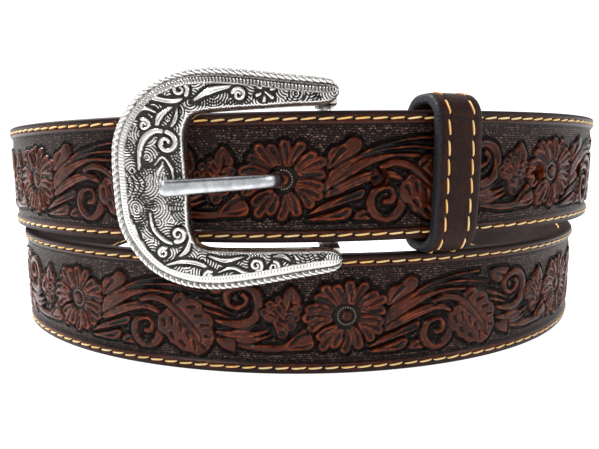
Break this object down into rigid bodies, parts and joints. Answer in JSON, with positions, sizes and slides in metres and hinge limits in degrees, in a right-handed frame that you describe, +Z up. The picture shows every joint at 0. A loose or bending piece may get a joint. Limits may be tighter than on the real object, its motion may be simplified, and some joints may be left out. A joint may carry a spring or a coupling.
{
  "type": "western tooled belt",
  "caption": "Tooled leather belt wound in two turns on its edge and fastened, with a curved engraved silver buckle, a prong and a stitched keeper loop.",
  "frame": {"origin": "under the middle of the whole belt, on the surface that it stands on", "axes": "X runs across the front of the wound belt, to the right as the buckle is seen; Y runs from the buckle to the back; Z is up"},
  "size_m": [0.2214, 0.1554, 0.0764],
  "materials": {
    "tooled_leather": "tooled, dark brown with black in the recesses, waxed",
    "keeper_leather": "smooth dark brown, satin",
    "thread": "golden waxed thread",
    "antique_silver": "antiqued silver, darkened in the recesses",
    "prong_steel": "polished"
  },
  "bodies": {
    "root": {"strap": "tooled_leather", "keeper": "keeper_leather", "buckle_frame": "antique_silver", "prong": "prong_steel"}
  },
  "joints": []
}
